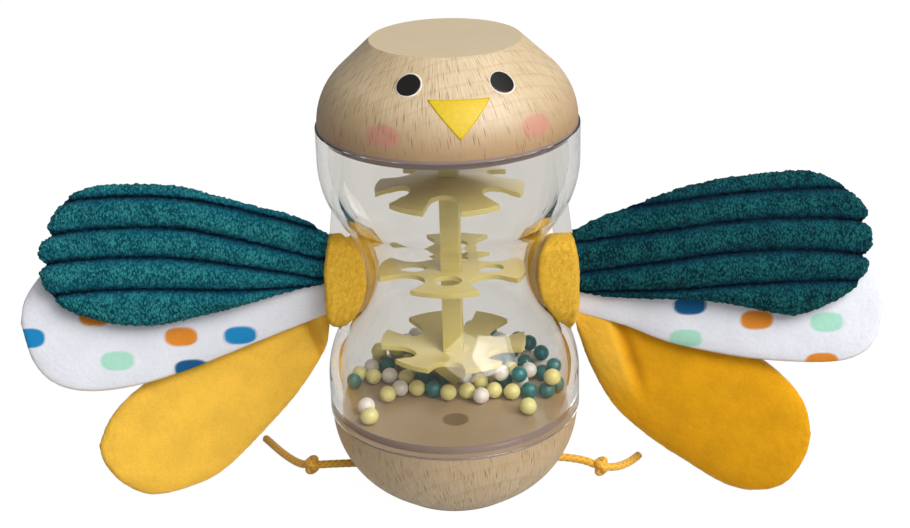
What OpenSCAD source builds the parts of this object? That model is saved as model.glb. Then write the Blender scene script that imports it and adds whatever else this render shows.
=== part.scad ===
// Bird rattle: a clear hourglass with loose beads and baffles inside, closed by two turned
// wooden ends. A fabric wing is looped round a bar on each side of the waist, and a knotted
// cord runs through the base. Millimetres, +Z up, the face looks along -Y.
// Origin: the middle of the flat that the base stands on.

/* [Wooden ends] */
// Step from the shell in to the wood at each seam
seam_step = 0.5; // [0:0.05:0.6]
// Height of the base
base_h = 24; // [18:0.5:30]
// Diameter of the flat that the base stands on
base_flat_d = 38; // [30:0.5:48]
// Share of the base's side that is round below its seam, the rest being straight
base_curve = 0.7; // [0.2:0.05:0.95]
// Height of the head
head_h = 21.5; // [16:0.5:28]
// Diameter of the flat on top of the head
head_flat_d = 38.8; // [30:0.2:48]
// Share of the head's side that is round above its seam, the rest being straight
head_curve = 0.4; // [0.2:0.05:0.95]

/* [Clear shell] */
// Height between the two wooden ends
shell_h = 81.5; // [72:0.5:96]
// Outer diameter of the mouths
shell_d = 68.4; // [62:0.2:74]
// Depth of the waist inside the mouths' outer face
waist_in = 10.9; // [8.8:0.1:13]
// Thickness of the wall
shell_wall = 3; // [2.2:0.1:3.8]
// Height of the straight mouth at each end
mouth_h = 9.75; // [6:0.25:14]
// Radius of the hollow round the waist
waist_round = 22; // [17:0.5:27]

/* [Side bars] */
// Diameter of the bar that bridges the waist on each side
bar_d = 5; // [4:0.1:6]
// Free gap between the waist and a bar
strap_gap = 4.2; // [3.4:0.1:5]
// Height above and below the waist at which a bar runs into the shell
bar_reach = 17.5; // [15:0.5:20]
// Depth of the bar's middle line inside the shell's outer face there
bar_sink = 2.2; // [1.4:0.1:2.8]

/* [End plates] */
// Thickness of the plates that close the shell
plate_t = 2.9; // [2:0.1:4]
// Thickness of a plate's flange between the shell and the wood
flange_t = 0.7; // [0.4:0.05:1.2]
// Clearance round a plate in its mouth
plate_gap = 0.1; // [0.05:0.05:0.3]
// Number of pegs that locate a plate in the wood
peg_count = 3; // [2:1:5]
// Diameter of a peg
peg_d = 7; // [4:0.5:9]
// Height of a peg
peg_h = 4; // [2:0.5:6]
// Diameter of the circle that the pegs stand on
peg_circle_d = 33; // [26:0.5:40]
// Clearance round a peg and above it
peg_gap = 0.15; // [0.05:0.05:0.4]

/* [Baffles] */
// Width of the square post
post_w = 5.2; // [4:0.1:6.4]
// Depth of the post's socket in the top plate
post_seat = 1.8; // [1:0.1:1.9]
// Clearance round the post in its socket and in the baffles
post_gap = 0.1; // [0.05:0.05:0.2]
// Clearance between a baffle's arms and the bore of the waist
baffle_gap = 0.7; // [0.4:0.1:1.4]
// Thickness of a baffle
baffle_t = 1.4; // [1:0.1:2]
// Slope of the upper and the lower baffle, which are shallow cones, in degrees
baffle_slope = 11.5; // [6:0.5:15]
// Drop from the top plate to the rim of the upper baffle
upper_drop = 15.4; // [13:0.2:18]
// Turn of the baffles round the post
baffle_turn = -6; // [-30:1:30]
// Radius of the round end of a narrow notch
notch_r = 4; // [3:0.1:4.6]
// Distance of a narrow notch's round end from the post's middle
notch_in = 15.4; // [13:0.1:16.6]
// Width of a narrow notch at the rim
notch_mouth = 10.4; // [8.5:0.1:12]
// Radius of the round end of a wide notch, between the four arms of the middle baffle
gulf_r = 5.6; // [4:0.1:6.4]
// Distance of a wide notch's round end from the post's middle
gulf_in = 16; // [14:0.1:18]
// Width of a wide notch at the rim
gulf_mouth = 13.4; // [11.5:0.1:15]
// Diameter of the hole in each arm of the middle baffle
eye_d = 7.4; // [5:0.1:8]
// Distance of that hole from the post's middle
eye_in = 10.2; // [9:0.1:11.5]
// Length of the four-sided nose under the lower baffle
nose_h = 11.5; // [10:0.1:13]
// Clearance between the nose's tip and the floor
nose_gap = 1.5; // [0.6:0.1:3]
// Half diagonal of the nose where it meets the baffle
nose_reach = 11.2; // [8:0.2:12]

/* [Beads] */
// Diameter of a bead
bead_d = 4.5; // [4:0.1:5.2]
// Least gap between two beads, and under a bead
bead_gap = 0.1; // [0.05:0.05:0.2]
// Mean play between the beads in a layer
bead_play = 0.8; // [0.4:0.05:2]
// Clearance between the beads and the shell
bead_run = 0.4; // [0.3:0.1:1]
// Front edge of the heap's layers, from the middle of the floor
heap_front = 3; // [0:0.5:8]

/* [Plush loops] */
// Clearance of a loop from the waist and from its bar
loop_gap = 0.4; // [0.2:0.1:0.6]
// Height of a loop above the waist
loop_up = 9.8; // [8:0.2:11]
// Height of a loop below the waist
loop_down = 16.5; // [13:0.5:17]
// Half height of a loop where it passes the waist
loop_in = 8; // [6:0.2:8.6]
// Thickness of the loop's edge at both ends
loop_edge = 0.4; // [0.3:0.1:0.8]
// Width of the seam face that the feathers are sewn to
seam_w = 12; // [9:0.5:14]
// Thickness of the loop behind the seam face
seam_pad = 0.8; // [0.8:0.1:3]

/* [Feathers] */
// Gap between the seam face and a feather's root
root_gap = 0.7; // [0.5:0.1:1]
// Height of the wing's middle line below the waist
wing_drop = 2.75; // [0:0.25:6]
// Turn of the wing from its root to its tip, lower edge forwards
wing_twist = 30; // [0:1:36]
// Length over which that turn is counted
twist_length = 80; // [70:1:100]
// Length over which a feather thickens from its root
swell_length = 26; // [18:1:40]
// Least gap between two feathers of a wing
layer_gap = 0.4; // [0.3:0.1:1]
// Thickness of a teal feather
teal_t = 6.4; // [5:0.2:8]
// Length of a teal feather
teal_length = 75.7; // [60:0.1:84]
// Width of a teal feather
teal_w = 37.6; // [30:0.2:42]
// Width of a teal feather's root
teal_root_w = 17; // [12:0.5:20]
// Height of a teal feather's root over the wing's middle line
teal_rise = 5.5; // [3:0.5:8]
// Upward slant of a teal feather, in degrees
teal_slant = 3; // [0:0.5:8]
// Share of a teal feather's length at which it is widest
teal_widest = 0.69; // [0.5:0.01:0.8]
// Spacing of the ribs along a teal feather
rib_pitch = 8.1; // [6:0.1:10]
// Depth of the grooves between the ribs
rib_depth = 1.1; // [0.4:0.1:1.6]
// Thickness of a white feather
white_t = 4; // [3:0.2:5]
// Length of a white feather
white_length = 81.3; // [60:0.1:90]
// Width of a white feather
white_w = 36; // [28:0.5:40]
// Width of a white feather's root
white_root_w = 12.5; // [9:0.5:16]
// Depth of a white feather's root under the wing's middle line
white_sink = 5; // [2:0.5:7]
// Downward slant of a white feather, in degrees
white_slant = 4.5; // [0:0.5:9]
// Share of a white feather's length at which it is widest
white_widest = 0.8; // [0.5:0.01:0.85]
// Thickness of a yellow feather
yellow_t = 5.2; // [4:0.2:7]
// Length of a yellow feather
yellow_length = 72.5; // [56:0.5:76]
// Width of a yellow feather
yellow_w = 36; // [26:0.5:38]
// Width of a yellow feather's root
yellow_root_w = 9; // [6:0.5:11]
// Depth of a yellow feather's root under the wing's middle line
yellow_sink = 13; // [9:0.5:14]
// Downward slant of a yellow feather, in degrees
yellow_slant = 35; // [28:0.5:38]
// Share of a yellow feather's length at which it is widest
yellow_widest = 0.66; // [0.5:0.01:0.8]
// Thickness of every feather at its root
root_t = 1.8; // [1.2:0.1:2.4]

/* [Leg cord] */
// Diameter of the cord
cord_d = 2.3; // [1.8:0.1:2.6]
// Clearance round the cord in its bore
cord_gap = 0.9; // [0.7:0.05:1.2]
// Height of the bore above the underside of the base
bore_z = 5; // [4:0.25:8]
// Diameter of a knot's core
knot_d = 4.6; // [4:0.1:5]
// Diameter of the round turn in a knot
knot_turn_d = 5.6; // [5:0.1:6]

/* [Hidden] */
$fn = 96;
// Length by which a cutting solid passes the face that it opens
over = 1;

// Heights of the main faces
top_seam = base_h + shell_h;
waist_z = base_h + shell_h / 2;
floor_z = base_h + plate_t;
ceiling_z = top_seam - plate_t;

// Profile of the shell: a hollow arc at the waist runs smoothly into a full arc at each bulge
shell_r = shell_d / 2;
wood_d = shell_d - 2 * seam_step;
waist_r = shell_r - waist_in;
bulge_z = shell_h / 2 - mouth_h;
arcs = (bulge_z * bulge_z + waist_in * waist_in) / (2 * waist_in);
bulge_round = arcs - waist_round;
function join_z(inset) = bulge_z * (waist_round + inset) / arcs;
function join_r(inset) = waist_r + waist_round - (arcs - waist_in) * (waist_round + inset) / arcs;
function bulge_r(z) = shell_r - bulge_round + sqrt(bulge_round * bulge_round - (z - bulge_z) * (z - bulge_z));
mouth_r = shell_r - shell_wall;

// The bars: the middle line is an arc through the bar's own middle and its two sunk ends
bar_x = waist_r + strap_gap + bar_d / 2;
bar_end_x = bulge_r(bar_reach) - bar_sink;
bar_sag = bar_x - bar_end_x;
bar_bow = (bar_reach * bar_reach + bar_sag * bar_sag) / (2 * bar_sag);
bar_angle = asin((bar_reach + shell_wall) / bar_bow);

// Heights of the baffles' upper faces at their rims: the lower one stands on its nose over the
// floor, the upper one hangs under the top plate and the middle one is halfway between them
baffle_r = waist_r - shell_wall - baffle_gap;
baffle_lift = baffle_r * tan(baffle_slope);
nose_tip = floor_z + nose_gap;
nose_top = nose_tip + nose_h;
lower_middle_z = nose_top - nose_reach * tan(baffle_slope) + baffle_t;
lower_z = lower_middle_z + baffle_lift;
upper_z = ceiling_z - upper_drop;
middle_z = (upper_z + lower_z) / 2;

// The plush loops
loop_bore_r = bar_d / 2 + loop_gap + bar_bow - sqrt(bar_bow * bar_bow - loop_in * loop_in);
loop_r = bar_x - waist_r - loop_gap;
seam_out = loop_bore_r + seam_pad;
seam_x = bar_x + seam_out;
loop_sides = 32;
loop_rings = 10;

// The feathers share one wing surface: u runs outwards from the root, v up, w back
root_x = seam_x + root_gap;
wing_z = waist_z - wing_drop;
function ease(t) = let (k = min(1, max(0, t))) k * k * (3 - 2 * k);
function swell(u) = ease(u / swell_length);
function wing_point(u, v, w) =
    let (turn = wing_twist * u / twist_length)
    [root_x + u, w * cos(turn) + v * sin(turn), wing_z + v * cos(turn) - w * sin(turn)];
// Places of the feathers in the wing: root height, direction, root width, share of the length
// at which the feather is widest
teal_place = [teal_rise, teal_slant, teal_root_w, teal_widest];
white_place = [-white_sink, -white_slant, white_root_w, white_widest];
yellow_place = [-yellow_sink, -yellow_slant, yellow_root_w, yellow_widest];
// Distance of the outer feathers' middle from the white one's, at the root and where full
teal_layer = [root_t + layer_gap, (teal_t + white_t) / 2 + layer_gap];
yellow_layer = [-root_t - layer_gap, -(yellow_t + white_t) / 2 - layer_gap];
white_layer = [0, 0];
feather_rings = 16;
feather_sides = 20;
ribbed_sides = 68;

// Routes of the cord's free ends, from the mouth of the bore through the knot to the tip
left_route = [[-27, 0, 5], [-30, 0, 5], [-35, 0.6, 4.6], [-41, 2.2, 3.6], [-45, 5.5, 2.4],
              [-50, 12.5, 1.6], [-56.3, 22.6, 1.4]];
right_route = [[27, 0, 5], [30, 0, 5], [35.4, -1.2, 4.6], [40.4, -2.8, 3.4], [44.8, -1.8, 2.6],
               [48.6, 1.8, 1.8], [52.2, 6.5, 1.4]];
knot_point = 3;
cord_sides = 8;

// Places of the beads: single beads that have run to the front, with loose layers behind them
touch = bead_d + bead_gap;
bead_pitch = touch + bead_play;
row_step = bead_pitch * sqrt(3) / 2;
bead_r = bead_d / 2;
bead_floor = floor_z + bead_r + bead_gap;
heap_r = mouth_r - bead_r - bead_run;
layer_rise = bead_d * 0.75;
nose_slope = nose_reach / nose_h;
function nose_clear(z) =
    (z - nose_tip) * nose_slope + (bead_r + bead_run) * sqrt(1 + nose_slope * nose_slope);
function under_baffle(p) = lower_middle_z - baffle_t + norm(p) * tan(baffle_slope) - bead_r - bead_run;
// The single beads, counted in touching beads from the middle of the floor: across, back, up
teal_front = [[-1.26, -0.69, 0], [4.4, -1.18, 0], [5.46, -1.16, 0], [6.18, -0.45, 0], [-6.16, 0.63, 0],
              [-4.16, 2.8, 0], [2.98, 0.31, 0], [3.83, -0.61, 0.78], [5.42, 1.08, 0], [6.07, 0.67, 0.65],
              [4.38, 2.25, 0.15], [3.25, 2.87, 0], [5.37, 2.04, 0.9]];
white_front = [[-5.14, -2.58, 0], [-3.26, -0.45, 0], [1.53, -1.68, 0], [-3.94, 1.27, 0], [-5.13, 2.55, 0],
               [3.95, 0.02, 0], [2.28, 1.04, 0], [2.76, -0.3, 0.77], [4.51, 0.79, 0.35], [5.35, 2.5, 0],
               [4.66, 3.39, 0]];
yellow_front = [[-4.87, -3.77, 0], [4.2, -3.14, 0], [-3.97, -1.19, 0], [-2.25, -0.5, 0], [-0.39, -1.18, 0],
                [0.73, -1.03, 0], [2.32, -1.05, 0], [3.38, -1.3, 0], [-5.85, 1.65, 0], [-4.94, 1.21, 0],
                [1.53, 0.17, 0], [5.72, -1.39, 0.94], [3.46, 1.67, 0]];
function laid(list) =
    [for (p = list)
        if (norm([p[0], p[1]]) * touch <= heap_r) [p[0] * touch, p[1] * touch, bead_floor + p[2] * touch]];
front = laid(concat(teal_front, white_front, yellow_front));
function clear_of(list, p) = min([for (b = list) norm(p - b)]) >= touch;
// Sites of a loose layer, shaken out of their rows
bead_shift = bead_play / (2 * sqrt(2));
bead_rows = ceil(heap_r / row_step);
bead_columns = ceil(heap_r / bead_pitch);
function shaken(i, j, layer) = rands(-bead_shift, bead_shift, 2, 71 * i + 13 * j + 997 * layer + 5000);
function site(i, j, layer) =
    let (s = shaken(i, j, layer))
    [(i + (abs(j) % 2) / 2 + layer / 2) * bead_pitch + s[0], (j + layer / 3) * row_step + s[1]];
// Height at which a bead dropped at p meets one below it
function drop_z(p, below) =
    max([for (b = below)
        let (d = norm([p[0] - b[0], p[1] - b[1]]))
        d < touch ? b[2] + sqrt(touch * touch - d * d) : 0]);
first_layer = [for (j = [-bead_rows : bead_rows]) for (i = [-bead_columns : bead_columns])
    let (p = site(i, j, 0))
    if (norm(p) < heap_r && norm(p) > nose_clear(bead_floor) && p[1] > heap_front)
        if (clear_of(front, [p[0], p[1], bead_floor])) [p[0], p[1], bead_floor]];
// The second layer covers the back of the first, the third the right-hand back of the second
second_front = heap_front + 2 * bead_pitch;
second_layer = [for (j = [-bead_rows : bead_rows]) for (i = [-bead_columns : bead_columns])
    let (p = site(i, j, 1))
    if (norm(p) < heap_r - bead_shift && norm(p) > nose_clear(bead_floor + layer_rise) && p[1] > second_front)
        let (z = drop_z(p, concat(first_layer, front)))
        if (z > bead_floor + bead_r && z < under_baffle(p)) [p[0], p[1], z]];
third_front = second_front + bead_pitch;
third_layer = [for (j = [-bead_rows : bead_rows]) for (i = [0 : bead_columns])
    let (p = site(i, j, 2))
    if (norm(p) < heap_r - bead_pitch && p[1] > third_front)
        if (norm(p) > nose_clear(bead_floor + 2 * layer_rise))
            let (z = drop_z(p, concat(first_layer, front, second_layer)))
            if (z > bead_floor + bead_d && z < under_baffle(p)) [p[0], p[1], z]];
heap = concat(first_layer, second_layer, third_layer);
// Teal beads lie mostly on the right, yellow and white ones mostly on the left
tints = rands(0, 1, len(heap), 41);
function teal_share(p) = 0.42 + 0.3 * p[0] / heap_r;
function tint(k) =
    let (p = heap[k], share = teal_share(p))
    tints[k] < share ? "teal" : tints[k] < share + (1 - share) * 0.45 ? "white" : "yellow";

// Half outline of the shell's solid of revolution, drawn in by inset
module hourglass(inset, past) {
    for (end = [0, 1])
        mirror([0, end]) {
            translate([0, bulge_z])
                square([shell_r - inset, mouth_h - flange_t + past]);
            intersection() {
                translate([shell_r - bulge_round, bulge_z])
                    circle(bulge_round - inset);
                translate([0, join_z(inset)])
                    square([shell_r, bulge_z - join_z(inset)]);
            }
        }
    difference() {
        translate([0, -bulge_z])
            square([join_r(inset), 2 * bulge_z]);
        translate([waist_r + waist_round, 0])
            circle(waist_round + inset);
    }
}

// Solid dome, upright at its seam (z = 0): its side starts round and runs out straight to the flat
module dome(seam_d, height, flat_d, curve) {
    shrink = (seam_d - flat_d) / 2;
    lean = (1 + curve) * atan(shrink / height);
    side_round = (height * tan(lean) - shrink) / (sin(lean) * tan(lean) - 1 + cos(lean));
    round_h = side_round * sin(lean);
    round_end = seam_d / 2 - side_round * (1 - cos(lean));
    rotate_extrude() {
        polygon([[0, round_h], [round_end, round_h], [flat_d / 2, height], [0, height]]);
        intersection() {
            translate([seam_d / 2 - side_round, 0])
                circle(side_round);
            square([seam_d / 2, round_h]);
        }
        square([round_end, round_h]);
    }
}

// Pegs, or the holes for them, standing on z = 0
module pegs(grow) {
    for (k = [0 : peg_count - 1])
        rotate(k * 360 / peg_count - 90)
            translate([peg_circle_d / 2, 0, 0])
                cylinder(d = peg_d + 2 * grow, h = peg_h + grow);
}

module head() {
    color("burlywood")
        translate([0, 0, top_seam])
            difference() {
                dome(wood_d, head_h, head_flat_d, head_curve);
                pegs(peg_gap);
            }
}

module base() {
    color("burlywood")
        difference() {
            translate([0, 0, base_h])
                mirror([0, 0, 1])
                    difference() {
                        dome(wood_d, base_h, base_flat_d, base_curve);
                        pegs(peg_gap);
                    }
            translate([-wood_d / 2, 0, bore_z])
                rotate([0, 90, 0])
                    cylinder(d = cord_d + 2 * cord_gap, h = wood_d);
        }
}

module side_bar() {
    translate([bar_x - bar_bow, 0, 0])
        rotate([90, 0, 0])
            rotate(-bar_angle)
                rotate_extrude(angle = 2 * bar_angle)
                    translate([bar_bow, 0])
                        circle(d = bar_d);
}

module clear_shell() {
    color("lavender", 0.35)
        translate([0, 0, waist_z])
            difference() {
                union() {
                    rotate_extrude()
                        hourglass(0, 0);
                    side_bar();
                    mirror([1, 0, 0])
                        side_bar();
                }
                rotate_extrude()
                    hourglass(shell_wall, over);
            }
}

// End plate on z = 0: a disc in the mouth, a flange between the shell and the wood, and the pegs
module end_plate() {
    cylinder(r = mouth_r - plate_gap, h = plate_t);
    translate([0, 0, plate_t - flange_t])
        cylinder(d = wood_d, h = flange_t);
    translate([0, 0, plate_t])
        pegs(0);
}

// Square hole for the post, standing on z = 0
module post_hole(depth) {
    linear_extrude(depth)
        square(post_w + 2 * post_gap, center = true);
}

module top_plate() {
    color("rosybrown")
        difference() {
            translate([0, 0, ceiling_z])
                end_plate();
            rotate(baffle_turn)
                translate([0, 0, ceiling_z - over])
                    post_hole(post_seat + over);
        }
}

module bottom_plate() {
    color("rosybrown")
        translate([0, 0, floor_z])
            mirror([0, 0, 1])
                end_plate();
}

module baffle_post() {
    post_top = ceiling_z + post_seat - post_gap;
    color("palegoldenrod")
        rotate(baffle_turn)
            translate([0, 0, lower_middle_z - baffle_t])
                linear_extrude(post_top - lower_middle_z + baffle_t)
                    square(post_w, center = true);
}

// Notch with a round inner end that opens towards the rim
module notch(r, in, mouth) {
    translate([in, 0])
        circle(r);
    polygon([[in, -r], [baffle_r + over, -mouth / 2], [baffle_r + over, mouth / 2], [in, r]]);
}

// Outline of a baffle: a disc with notches between its arms and a hole for the post
module armed_outline(arms, r, in, mouth) {
    difference() {
        circle(baffle_r);
        for (k = [0 : arms - 1])
            rotate((k + 0.5) * 360 / arms)
                notch(r, in, mouth);
        square(post_w + 2 * post_gap, center = true);
    }
}

// Shallow cone with six arms: its upper face is on z = 0 at the rim and at lift in the middle
module armed_cone(lift) {
    arms = 6;
    span = abs(lift) + baffle_t + over;
    past = -lift * over / baffle_r;
    intersection() {
        translate([0, 0, -span])
            linear_extrude(2 * span)
                armed_outline(arms, notch_r, notch_in, notch_mouth);
        rotate_extrude()
            polygon([[0, lift - baffle_t], [baffle_r + over, past - baffle_t],
                     [baffle_r + over, past], [0, lift]]);
    }
}

module upper_baffle() {
    color("palegoldenrod")
        translate([0, 0, upper_z])
            rotate(baffle_turn)
                armed_cone(baffle_lift);
}

module middle_baffle() {
    arms = 4;
    color("palegoldenrod")
        translate([0, 0, middle_z - baffle_t])
            rotate(baffle_turn)
                linear_extrude(baffle_t)
                    difference() {
                        armed_outline(arms, gulf_r, gulf_in, gulf_mouth);
                        for (k = [0 : arms - 1])
                            rotate(k * 360 / arms)
                                translate([eye_in, 0])
                                    circle(d = eye_d);
                    }
}

// Four-sided pyramid on z = 0, its faces across the axes
module pyramid(reach, height) {
    half = reach / sqrt(2);
    intersection_for (turn = [0, 90])
        rotate(turn)
            rotate([90, 0, 0])
                translate([0, 0, -reach])
                    linear_extrude(2 * reach)
                        polygon([[-half, 0], [half, 0], [0, height]]);
}

module lower_baffle() {
    color("palegoldenrod")
        rotate(baffle_turn)
            difference() {
                union() {
                    translate([0, 0, lower_z])
                        armed_cone(-baffle_lift);
                    translate([0, 0, nose_top])
                        mirror([0, 0, 1])
                            pyramid(nose_reach, nose_h);
                }
                translate([0, 0, lower_middle_z - baffle_t - post_gap])
                    post_hole(lower_z - lower_middle_z + baffle_t + over);
            }
}

module beads(name, list) {
    loose = [for (k = [0 : len(heap) - 1]) if (tint(k) == name) heap[k]];
    for (place = concat(loose, laid(list)))
        translate(place)
            sphere(bead_r);
}

module teal_beads() {
    color("teal")
        beads("teal", teal_front);
}

module white_beads() {
    color("whitesmoke")
        beads("white", white_front);
}

module yellow_beads() {
    color("khaki")
        beads("yellow", yellow_front);
}

// Plush loop on the right, a padded sleeve round the bar: short and round where it passes the
// waist, taller and flat where the feathers are sewn
module tab() {
    function seam_share(turn) = (1 + cos(turn)) / 2;
    function high(turn) = loop_in + (loop_up - loop_in) * seam_share(turn);
    function low(turn) = loop_in + (loop_down - loop_in) * seam_share(turn);
    function outline(turn) =
        let (p = 2 + 2 * max(0, cos(turn)), reach = cos(turn) > 0 ? seam_out : loop_r)
        pow(pow(abs(cos(turn)) / reach, p) + pow(abs(sin(turn)) / (seam_w / 2), p), -1 / p);
    function padding(turn, k) =
        loop_edge + (outline(turn) - loop_bore_r - loop_edge) * sqrt(max(0, 1 - k * k));
    function sleeve_point(r, turn, k) =
        [bar_x + r * cos(turn), r * sin(turn), k > 0 ? k * high(turn) : k * low(turn)];
    function level(i) = sin(90 * (2 * i / loop_rings - 1));
    n = loop_sides;
    inner = (loop_rings + 1) * n;
    points = concat(
        [for (i = [0 : loop_rings]) for (j = [0 : n - 1])
            let (turn = 360 * j / n)
            sleeve_point(loop_bore_r + padding(turn, level(i)), turn, level(i))],
        [for (k = [-1, 1]) for (j = [0 : n - 1]) sleeve_point(loop_bore_r, 360 * j / n, k)]);
    faces = concat(
        [for (i = [0 : loop_rings - 1]) for (j = [0 : n - 1])
            let (a = i * n + j, b = i * n + (j + 1) % n)
            each [[a, a + n, b], [b, a + n, b + n]]],
        [for (j = [0 : n - 1])
            let (a = inner + j, b = inner + (j + 1) % n)
            each [[a, b, a + n], [b, b + n, a + n]]],
        [for (j = [0 : n - 1])
            let (a = j, b = (j + 1) % n)
            each [[a, b, inner + a], [b, inner + b, inner + a]]],
        [for (j = [0 : n - 1])
            let (a = loop_rings * n + j, b = loop_rings * n + (j + 1) % n, c = inner + n)
            each [[a, c + j, b], [b, c + j, c + (j + 1) % n]]]);
    polyhedron(points, faces);
}

module right_tab() {
    color("goldenrod")
        translate([0, 0, waist_z])
            tab();
}

module left_tab() {
    color("goldenrod")
        translate([0, 0, waist_z])
            mirror([1, 0, 0])
                tab();
}

// Sewn feather on the right: swells from a narrow, upright root to its widest place and ends
// round. Each ring is a flat oval; on a ribbed one grooves run along the front face.
module feather(place, length, width, thick, layer, ribbed, sides) {
    rings = feather_rings;
    function along(i) = length * sin(90 * i / rings);
    function half_width(s) =
        let (k = s / (length * place[3]))
        k < 1 ? place[2] / 2 + (width - place[2]) / 2 * sin(90 * k)
              : width / 2 * sqrt(max(0, 1 - pow((s - length * place[3]) / (length * (1 - place[3])), 2)));
    function half_thick(s) =
        let (end = max(0, (s / length - place[3]) / (1 - place[3])))
        (root_t + (thick - root_t) * swell(s * cos(place[1]))) / 2 * sqrt(1 - 0.9 * end * end);
    function depth(s) = -(layer[0] + (layer[1] - layer[0]) * swell(s * cos(place[1])));
    function groove(across) = ribbed ? rib_depth * pow(sin(180 * across / rib_pitch), 4) : 0;
    function ring_point(s, turn) =
        let (across = half_width(s) * cos(turn),
             lean = place[1] * swell(s * cos(place[1])),
             full = half_thick(s) * sin(turn),
             face = full > 0 ? max(full - groove(across) * full / (thick / 2), 0) : full)
        wing_point(s * cos(place[1]) - across * sin(lean),
                   place[0] + s * sin(place[1]) + across * cos(lean),
                   depth(s) - face);
    points = concat(
        [for (i = [0 : rings - 1]) for (k = [0 : sides - 1]) ring_point(along(i), 360 * k / sides)],
        [wing_point(0, place[0], depth(0)),
         wing_point(length * cos(place[1]), place[0] + length * sin(place[1]), depth(length))]);
    root_end = rings * sides;
    tip_end = root_end + 1;
    last = (rings - 1) * sides;
    faces = concat(
        [for (i = [0 : rings - 2]) for (k = [0 : sides - 1])
            let (a = i * sides + k, b = i * sides + (k + 1) % sides)
            each [[a, b, a + sides], [b, b + sides, a + sides]]],
        [for (k = [0 : sides - 1]) [root_end, (k + 1) % sides, k]],
        [for (k = [0 : sides - 1]) [tip_end, last + k, last + (k + 1) % sides]]);
    polyhedron(points, faces);
}

module teal_feather() {
    feather(teal_place, teal_length, teal_w, teal_t, teal_layer, true, ribbed_sides);
}

module white_feather() {
    feather(white_place, white_length, white_w, white_t, white_layer, false, feather_sides);
}

module yellow_feather() {
    feather(yellow_place, yellow_length, yellow_w, yellow_t, yellow_layer, false, feather_sides);
}

module right_teal_feather() {
    color("darkslategray")
        teal_feather();
}

module left_teal_feather() {
    color("darkslategray")
        mirror([1, 0, 0])
            teal_feather();
}

module right_white_feather() {
    color("white")
        white_feather();
}

module left_white_feather() {
    color("white")
        mirror([1, 0, 0])
            white_feather();
}

module right_yellow_feather() {
    color("orange")
        yellow_feather();
}

module left_yellow_feather() {
    color("orange")
        mirror([1, 0, 0])
            yellow_feather();
}

// Round tube swept along a route that never stands upright
module tube(route, d) {
    count = len(route);
    function heading(i) =
        let (a = route[max(0, i - 1)], b = route[min(count - 1, i + 1)])
        (b - a) / norm(b - a);
    function side(t) = cross(t, [0, 0, 1]) / norm(cross(t, [0, 0, 1]));
    function ring_point(i, turn) =
        let (t = heading(i), s = side(t))
        route[i] + d / 2 * (cos(turn) * s + sin(turn) * cross(s, t));
    points = [for (i = [0 : count - 1]) for (k = [0 : cord_sides - 1])
        ring_point(i, 360 * k / cord_sides)];
    last = (count - 1) * cord_sides;
    faces = concat(
        [for (i = [0 : count - 2]) for (k = [0 : cord_sides - 1])
            let (a = i * cord_sides + k, b = i * cord_sides + (k + 1) % cord_sides)
            each [[a, a + cord_sides, b], [b, a + cord_sides, b + cord_sides]]],
        [[for (k = [0 : cord_sides - 1]) k]],
        [[for (k = [cord_sides - 1 : -1 : 0]) last + k]]);
    polyhedron(points, faces);
}

module leg_cord() {
    color("orange")
        translate([left_route[0][0], 0, bore_z])
            rotate([0, 90, 0])
                cylinder(d = cord_d, h = right_route[0][0] - left_route[0][0]);
}

module left_leg() {
    color("orange")
        tube(left_route, cord_d);
}

module right_leg() {
    color("orange")
        tube(right_route, cord_d);
}

// Overhand knot: a pulled-tight core with one round turn over it
module knot(place) {
    turn_lean = 25;
    translate(place) {
        sphere(d = knot_d);
        rotate([0, 90 - turn_lean, turn_lean])
            rotate_extrude()
                translate([(knot_turn_d - cord_d) / 2, 0])
                    circle(d = cord_d);
    }
}

module left_knot() {
    color("orange")
        knot(left_route[knot_point]);
}

module right_knot() {
    color("orange")
        knot(right_route[knot_point]);
}

head();
base();
clear_shell();
top_plate();
bottom_plate();
baffle_post();
upper_baffle();
middle_baffle();
lower_baffle();
teal_beads();
white_beads();
yellow_beads();
left_tab();
right_tab();
left_teal_feather();
right_teal_feather();
left_white_feather();
right_white_feather();
left_yellow_feather();
right_yellow_feather();
leg_cord();
left_leg();
right_leg();
left_knot();
right_knot();
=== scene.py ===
# Bird rattle: a clear hourglass with loose beads between two turned beech ends, a stuffed fabric
# wing looped round the bar on each side of its waist, and a knotted cord through its base.
import bpy
import math
import numpy as np
from mathutils import Matrix, Vector, noise


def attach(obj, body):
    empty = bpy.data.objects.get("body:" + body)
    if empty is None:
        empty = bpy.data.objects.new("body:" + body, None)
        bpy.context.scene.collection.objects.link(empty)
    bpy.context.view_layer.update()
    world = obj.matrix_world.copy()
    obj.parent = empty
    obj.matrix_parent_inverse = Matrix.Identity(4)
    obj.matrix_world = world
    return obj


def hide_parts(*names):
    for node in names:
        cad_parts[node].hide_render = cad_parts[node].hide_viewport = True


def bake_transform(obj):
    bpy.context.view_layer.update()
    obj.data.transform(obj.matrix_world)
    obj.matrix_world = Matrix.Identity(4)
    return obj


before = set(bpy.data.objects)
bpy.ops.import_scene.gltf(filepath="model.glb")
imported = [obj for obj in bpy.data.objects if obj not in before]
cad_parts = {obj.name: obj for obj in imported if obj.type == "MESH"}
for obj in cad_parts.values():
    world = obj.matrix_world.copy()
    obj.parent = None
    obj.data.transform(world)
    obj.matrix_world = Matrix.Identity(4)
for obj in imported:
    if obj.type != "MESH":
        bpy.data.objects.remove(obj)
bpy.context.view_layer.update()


# ---- camera
# The rattle was photographed from a little above the head, straight at its face, with the
# picture leaning by about a degree and a half.
MM = 0.001
PHOTO_W = 910
focal_px = 1623.0
axis_px = (451.5, 268.5)
photo_middle_px = (455.0, 264.0)
tilt = math.radians(22.88)
lean = math.radians(-1.59)
camera_away, camera_high = 400, 232.4
sensor_mm = 36.0

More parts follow.
